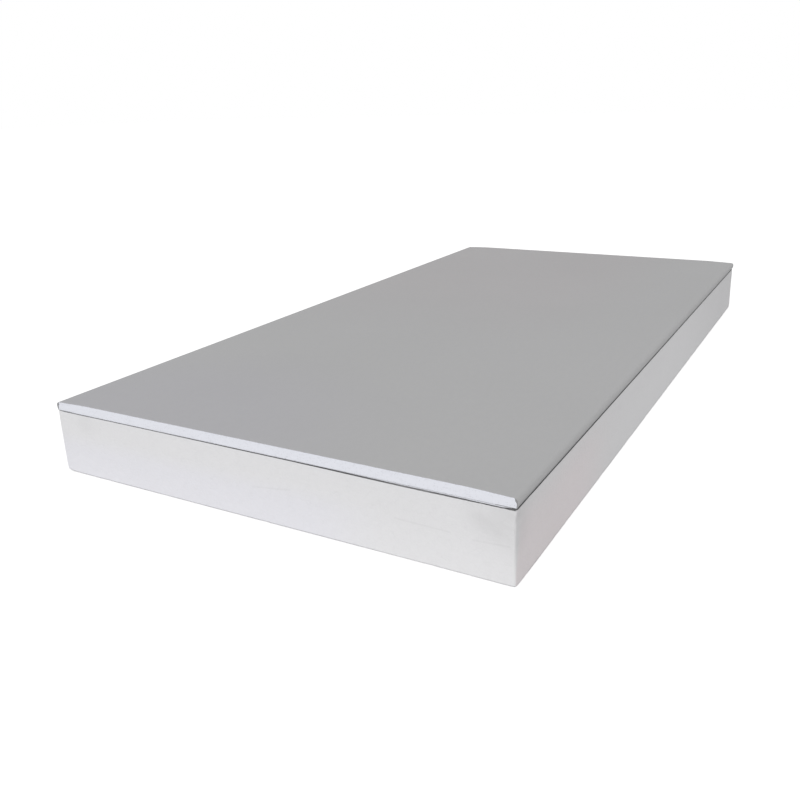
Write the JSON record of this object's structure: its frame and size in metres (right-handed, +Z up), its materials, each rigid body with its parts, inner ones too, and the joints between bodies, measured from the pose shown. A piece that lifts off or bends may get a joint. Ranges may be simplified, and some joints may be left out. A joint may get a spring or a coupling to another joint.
{
  "type": "insulated drywall sheet",
  "caption": "Flat wall-lining sheet: tapered-edge gypsum board with a grey paper face, glued to a thick slab of white polystyrene foam.",
  "frame": {"origin": "middle of the foam's underside", "axes": "+X across the width, +Y along the length, +Z up from the foam to the paper face"},
  "size_m": [0.6, 1.2, 0.0934],
  "materials": {
    "white_foam": "matte",
    "glue": "matte",
    "back_paper": "matte",
    "gypsum": "matte",
    "face_paper": "matte"
  },
  "bodies": {
    "root": {"insulation_board": "white_foam", "glue_film": "glue", "back_paper": "back_paper", "gypsum_core": "gypsum", "face_paper": "face_paper"}
  },
  "joints": []
}
